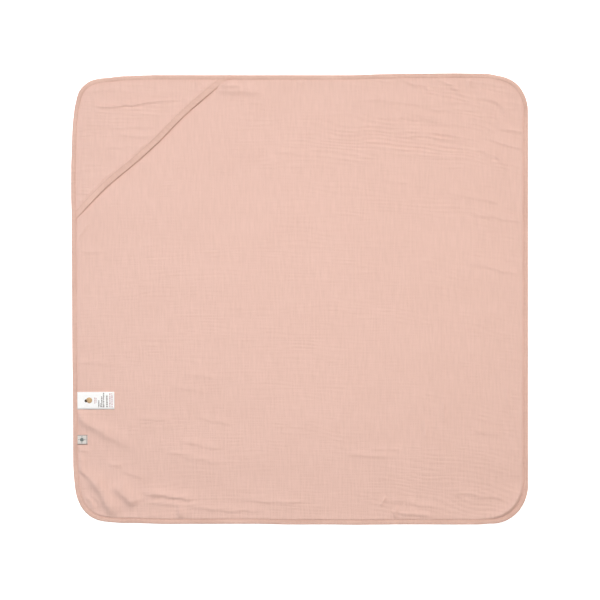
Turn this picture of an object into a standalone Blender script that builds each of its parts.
"""Hooded baby towel in four-ply cotton gauze, lying flat.

Units are metres and +Z is up. The origin is under the middle of the towel, on
the surface that it lies on. The hood is in the corner at -X, +Y, and the two
labels are sewn into the side at -X, below the hood.

From bottom to top the towel is four gauze plies with a folded tape bound round
their edge, then the two-ply hood with its own folded tape along the free edge.
"""

import math

import bmesh
import bpy
from mathutils import Vector

# Overall size of the towel, over its edge binding.
WIDTH = 0.900
LENGTH = 0.888

# Each corner leaves the side this far from the square corner, and its handles
# reach this far along the side. The two corners at +X are quarter circles, and
# the two at -X are pulled out towards the square corner.
ROUND_CORNER = {"reach": 0.075, "handle": 0.0414}
PULLED_CORNER = {"reach": 0.118, "handle": 0.092}
CORNER_STEPS = 14

# Cloth, tape and thread.
PLY_THICKNESS = 0.00035
TAPE_THICKNESS = 0.0005
THREAD_DIAMETER = 0.0003
EDGE_BINDING_WIDTH = 0.009
STITCH_FROM_TAPE_EDGE = 0.0013
FOLD_STEPS = 6

# The hood's free edge runs between these two distances from the hood's square
# corner, along +X and along -Y, in two shallow bows towards the corner.
HOOD_LEG_X = 0.3175
HOOD_LEG_Y = 0.293
HOOD_EDGE_BOW = 0.004
HOOD_EDGE_STEPS = 20
HOOD_BINDING_WIDTH = 0.0118

# Each label is a strip folded in half, with both ends caught in the -X seam, and
# its middle this far up that seam from the -Y side.
CARE_LABEL = {"length": 0.073, "width": 0.0345, "leaf": 0.00025, "up_seam": 0.2427}
BRAND_LABEL = {"length": 0.0195, "width": 0.019, "leaf": 0.00035, "up_seam": 0.1655}

# The air between two pieces that touch, and inside a folded label.
CLEARANCE = 0.0003
WELD_DISTANCE = 0.00001

# sRGB colours of the finished materials.
GAUZE_PINK = (235, 196, 182)
TAPE_PINK = (226, 188, 172)
THREAD_PINK = (218, 180, 164)
SATIN_WHITE = (243, 241, 238)
WOVEN_GREY = (214, 216, 214)

# Heights, from the bottom up. The plies are named from the bottom up too.
BODY_PLIES = ("body_back_ply", "body_inner_ply_lower", "body_inner_ply_upper", "body_face_ply")
HOOD_PLIES = ("hood_lining_ply", "hood_face_ply")
PLY_PITCH = PLY_THICKNESS + CLEARANCE
BODY_BOTTOM = TAPE_THICKNESS + CLEARANCE
BODY_TOP = BODY_BOTTOM + len(BODY_PLIES) * PLY_PITCH - CLEARANCE
EDGE_BINDING_HEIGHT = BODY_TOP + CLEARANCE + TAPE_THICKNESS
HOOD_BINDING_BOTTOM = BODY_TOP + CLEARANCE
HOOD_BOTTOM = HOOD_BINDING_BOTTOM + TAPE_THICKNESS + CLEARANCE
HOOD_TOP = HOOD_BOTTOM + len(HOOD_PLIES) * PLY_PITCH - CLEARANCE
HOOD_BINDING_HEIGHT = HOOD_TOP + CLEARANCE + TAPE_THICKNESS - HOOD_BINDING_BOTTOM
LABEL_BOTTOM = BODY_TOP + CLEARANCE

# The hood and the labels stop this far inside the towel's outline.
INSIDE_BINDING = EDGE_BINDING_WIDTH + CLEARANCE

# A label turns over the seam about a line just above the stitches beside it.
LABEL_HINGE_Z = EDGE_BINDING_HEIGHT + CLEARANCE + THREAD_DIAMETER + CLEARANCE


def clear_scene():
    for obj in list(bpy.data.objects):
        bpy.data.objects.remove(obj, do_unlink=True)


def make_collection(name):
    collection = bpy.data.collections.new(name)
    bpy.context.scene.collection.children.link(collection)
    return collection


def make_material(name, rgb, roughness):
    """A Principled material with an sRGB base colour."""
    linear = [((channel / 255 + 0.055) / 1.055) ** 2.4 for channel in rgb]
    material = bpy.data.materials.new(name)
    material.use_nodes = True
    shader = material.node_tree.nodes["Principled BSDF"]
    shader.inputs["Base Color"].default_value = (*linear, 1.0)
    shader.inputs["Roughness"].default_value = roughness
    shader.inputs["Metallic"].default_value = 0.0
    material.diffuse_color = (*linear, 1.0)
    return material


def corner_points(square, before, after, shape, inset):
    """One corner of the outline moved inwards by `inset`. The outline runs
    anticlockwise, along `before` into the corner and along `after` out of it."""
    start = square - before * shape["reach"]
    end = square + after * shape["reach"]
    start_handle = start + before * shape["handle"]
    end_handle = end - after * shape["handle"]
    points = []
    for step in range(CORNER_STEPS + 1):
        t = step / CORNER_STEPS
        s = 1 - t
        point = s**3 * start + 3 * s * s * t * start_handle + 3 * s * t * t * end_handle + t**3 * end
        slope = (
            s * s * (start_handle - start)
            + 2 * s * t * (end_handle - start_handle)
            + t * t * (end - end_handle)
        )
        inward = Vector((-slope.y, slope.x)).normalized()
        points.append(point + inward * inset)
    return points


def hood_corner(inset):
    """The corner that the hood covers, from the +Y side to the -X side."""
    square = Vector((-WIDTH / 2, LENGTH / 2))
    return corner_points(square, Vector((-1, 0)), Vector((0, -1)), PULLED_CORNER, inset)


def outline(inset=0.0):
    """The towel's outline moved inwards by `inset`, anticlockwise from the +X, -Y corner."""
    half_x, half_y = WIDTH / 2, LENGTH / 2
    east, north = Vector((1, 0)), Vector((0, 1))
    points = corner_points(Vector((half_x, -half_y)), east, north, ROUND_CORNER, inset)
    points += corner_points(Vector((half_x, half_y)), north, -east, ROUND_CORNER, inset)
    points += hood_corner(inset)
    points += corner_points(Vector((-half_x, -half_y)), -north, east, PULLED_CORNER, inset)
    return points


def hood_edge(inset=0.0):
    """The hood's free edge from the +Y side to the -X side, moved towards the hood's
    corner by `inset`, and run past the towel's outline at both ends."""
    start = Vector((-WIDTH / 2 + HOOD_LEG_X, LENGTH / 2))
    end = Vector((-WIDTH / 2, LENGTH / 2 - HOOD_LEG_Y))
    along = (end - start).normalized()
    inward = Vector((along.y, -along.x))
    points = [start - along * HOOD_BINDING_WIDTH + inward * inset]
    for step in range(HOOD_EDGE_STEPS + 1):
        t = step / HOOD_EDGE_STEPS
        bow = HOOD_EDGE_BOW * math.sin(2 * math.pi * t) ** 2
        points.append(start.lerp(end, t) + inward * (inset + bow))
    points.append(end + along * HOOD_BINDING_WIDTH + inward * inset)
    return points


def folded_section(depth, thickness, height):
    """The closed section of a strip folded in half: its rounded fold at 0, its two
    open ends at `depth`, its lower face at height 0."""
    outer = height / 2
    inner = outer - thickness
    angles = [-math.pi / 2 - math.pi * step / FOLD_STEPS for step in range(FOLD_STEPS + 1)]
    turns = [Vector((math.cos(angle), math.sin(angle))) for angle in angles]
    centre = Vector((outer, outer))
    points = [Vector((depth, 0))]
    points += [centre + outer * turn for turn in turns]
    points += [Vector((depth, height)), Vector((depth, height - thickness))]
    points += [centre + inner * turn for turn in reversed(turns)]
    points.append(Vector((depth, thickness)))
    return points


def poly_curve(name, points, cyclic, collection):
    """A flat curve through the points, in straight stretches."""
    curve = bpy.data.curves.new(name, "CURVE")
    curve.dimensions = "2D"
    curve.fill_mode = "NONE"
    spline = curve.splines.new("POLY")
    spline.points.add(len(points) - 1)
    for knot, point in zip(spline.points, points):
        knot.co = (point.x, point.y, 0, 1)
    spline.use_cyclic_u = cyclic
    obj = bpy.data.objects.new(name, curve)
    collection.objects.link(obj)
    return obj


def make_panel(name, points, bottom, thickness, collection):
    """A flat panel, as a filled curve with its lower face at height `bottom`."""
    obj = poly_curve(name, points, True, collection)
    obj.data.fill_mode = "BOTH"
    obj.data.extrude = thickness / 2
    obj.location.z = bottom + thickness / 2
    return obj


def make_binding(name, path, cyclic, section, bottom, collection, guides):
    """A folded tape swept along a path, with its fold on the path. The tape lies
    inside a closed path, and on the right of an open one."""
    profile = poly_curve(name + "_section", section, True, guides)
    obj = poly_curve(name, path, cyclic, collection)
    obj.data.bevel_mode = "OBJECT"
    obj.data.bevel_object = profile
    obj.data.use_fill_caps = not cyclic
    obj.location.z = bottom
    return obj


def make_thread(name, path, cyclic, bottom, collection):
    """A row of stitching, as one thread that lies on the tape."""
    obj = poly_curve(name, path, cyclic, collection)
    obj.data.bevel_depth = THREAD_DIAMETER / 2
    obj.data.bevel_resolution = 1
    obj.data.use_fill_caps = not cyclic
    obj.location.z = bottom + THREAD_DIAMETER / 2
    return obj


def make_label(name, label, collection):
    """A strip folded in half that lies on the face ply, its open ends at the seam."""
    height = 2 * label["leaf"] + CLEARANCE
    section = folded_section(label["length"], label["leaf"], height)
    side_view = [Vector((label["length"] - point.x, point.y)) for point in section]
    obj = poly_curve(name, side_view, True, collection)
    obj.data.fill_mode = "BOTH"
    obj.data.extrude = label["width"] / 2
    obj.rotation_euler.x = math.pi / 2
    obj.location = (-WIDTH / 2 + INSIDE_BINDING, label["up_seam"] - LENGTH / 2, LABEL_BOTTOM)
    return obj


def as_mesh(obj):
    """Turns a curve object into a closed mesh object with the same name and place."""
    bpy.context.view_layer.update()
    graph = bpy.context.evaluated_depsgraph_get()
    mesh = bpy.data.meshes.new_from_object(obj.evaluated_get(graph))
    name, matrix, collection = obj.name, obj.matrix_world.copy(), obj.users_collection[0]
    bpy.data.objects.remove(obj, do_unlink=True)
    shell = bmesh.new()
    shell.from_mesh(mesh)
    bmesh.ops.remove_doubles(shell, verts=shell.verts, dist=WELD_DISTANCE)
    bmesh.ops.recalc_face_normals(shell, faces=shell.faces)
    shell.to_mesh(mesh)
    shell.free()
    mesh.name = name
    made = bpy.data.objects.new(name, mesh)
    made.matrix_world = matrix
    collection.objects.link(made)
    return made


def keep_inside(obj, cutter):
    """Keeps only the part of the object that lies inside the cutter."""
    cut = obj.modifiers.new("keep_inside", "BOOLEAN")
    cut.operation = "INTERSECT"
    cut.solver = "EXACT"
    cut.object = cutter


def hang_on(pivot_name, position, pieces, collection):
    """Parents pieces to an empty on their joint's axis, without moving them."""
    pivot = bpy.data.objects.new(pivot_name, None)
    pivot.location = position
    pivot.empty_display_size = HOOD_BINDING_WIDTH
    collection.objects.link(pivot)
    for piece in pieces:
        piece.parent = pivot
        piece.location -= pivot.location


def build_body(towel, guides, gauze, tape, thread):
    """The plies inside the edge binding, the binding, and its row of stitches."""
    ply_outline = outline(EDGE_BINDING_HEIGHT / 2)
    for level, name in enumerate(BODY_PLIES):
        ply = make_panel(name, ply_outline, BODY_BOTTOM + level * PLY_PITCH, PLY_THICKNESS, towel)
        ply.data.materials.append(gauze)
    section = folded_section(EDGE_BINDING_WIDTH, TAPE_THICKNESS, EDGE_BINDING_HEIGHT)
    binding = make_binding("edge_binding", outline(), True, section, 0, towel, guides)
    binding.data.materials.append(tape)
    stitches = make_thread(
        "edge_binding_stitches",
        outline(EDGE_BINDING_WIDTH - STITCH_FROM_TAPE_EDGE),
        True,
        EDGE_BINDING_HEIGHT + CLEARANCE,
        towel,
    )
    stitches.data.materials.append(thread)


def build_hood(towel, guides, gauze, tape, thread):
    """The hood's two plies, the tape along their free edge, and its row of stitches.
    All of them stop just inside the edge binding."""
    binding_top = HOOD_BINDING_BOTTOM + HOOD_BINDING_HEIGHT
    inside_outline = outline(INSIDE_BINDING)
    inside = as_mesh(make_panel("inside_edge_binding", inside_outline, 0, 2 * binding_top, guides))
    square = Vector((-WIDTH / 2, LENGTH / 2))
    beyond_corner = square + Vector((-HOOD_BINDING_WIDTH, HOOD_BINDING_WIDTH))
    panel_points = hood_edge(HOOD_BINDING_HEIGHT / 2) + [beyond_corner]
    pieces = []
    for level, name in enumerate(HOOD_PLIES):
        bottom = HOOD_BOTTOM + level * PLY_PITCH
        ply = as_mesh(make_panel(name, panel_points, bottom, PLY_THICKNESS, towel))
        ply.data.materials.append(gauze)
        pieces.append(ply)
    section = folded_section(HOOD_BINDING_WIDTH, TAPE_THICKNESS, HOOD_BINDING_HEIGHT)
    binding = make_binding(
        "hood_binding", hood_edge(), False, section, HOOD_BINDING_BOTTOM, towel, guides
    )
    binding = as_mesh(binding)
    binding.data.materials.append(tape)
    stitch_path = hood_edge(HOOD_BINDING_WIDTH - STITCH_FROM_TAPE_EDGE)
    stitches = make_thread(
        "hood_binding_stitches", stitch_path, False, binding_top + CLEARANCE, towel
    )
    stitches = as_mesh(stitches)
    stitches.data.materials.append(thread)
    pieces += [binding, stitches]
    for piece in pieces:
        keep_inside(piece, inside)
    tip = hood_corner(INSIDE_BINDING)[CORNER_STEPS // 2]
    hang_on("hood_tip", (tip.x, tip.y, HOOD_BINDING_BOTTOM), pieces, towel)


def build_label(name, label, material, towel):
    """A label, which turns over the seam about the inner edge of the binding."""
    piece = make_label(name, label, towel)
    piece.data.materials.append(material)
    hinge = (-WIDTH / 2 + EDGE_BINDING_WIDTH, label["up_seam"] - LENGTH / 2, LABEL_HINGE_Z)
    hang_on(name + "_seam", hinge, [piece], towel)


def main():
    clear_scene()
    towel = make_collection("hooded_baby_towel")
    guides = make_collection("guides")
    gauze = make_material("cotton_gauze", GAUZE_PINK, 0.95)
    tape = make_material("cotton_bias_tape", TAPE_PINK, 0.9)
    thread = make_material("polyester_thread", THREAD_PINK, 0.6)
    build_body(towel, guides, gauze, tape, thread)
    build_hood(towel, guides, gauze, tape, thread)
    build_label("care_label", CARE_LABEL, make_material("satin_ribbon", SATIN_WHITE, 0.45), towel)
    build_label("brand_label", BRAND_LABEL, make_material("woven_label", WOVEN_GREY, 0.7), towel)
    for guide in guides.objects:
        guide.hide_render = True
        guide.display_type = "WIRE"


main()
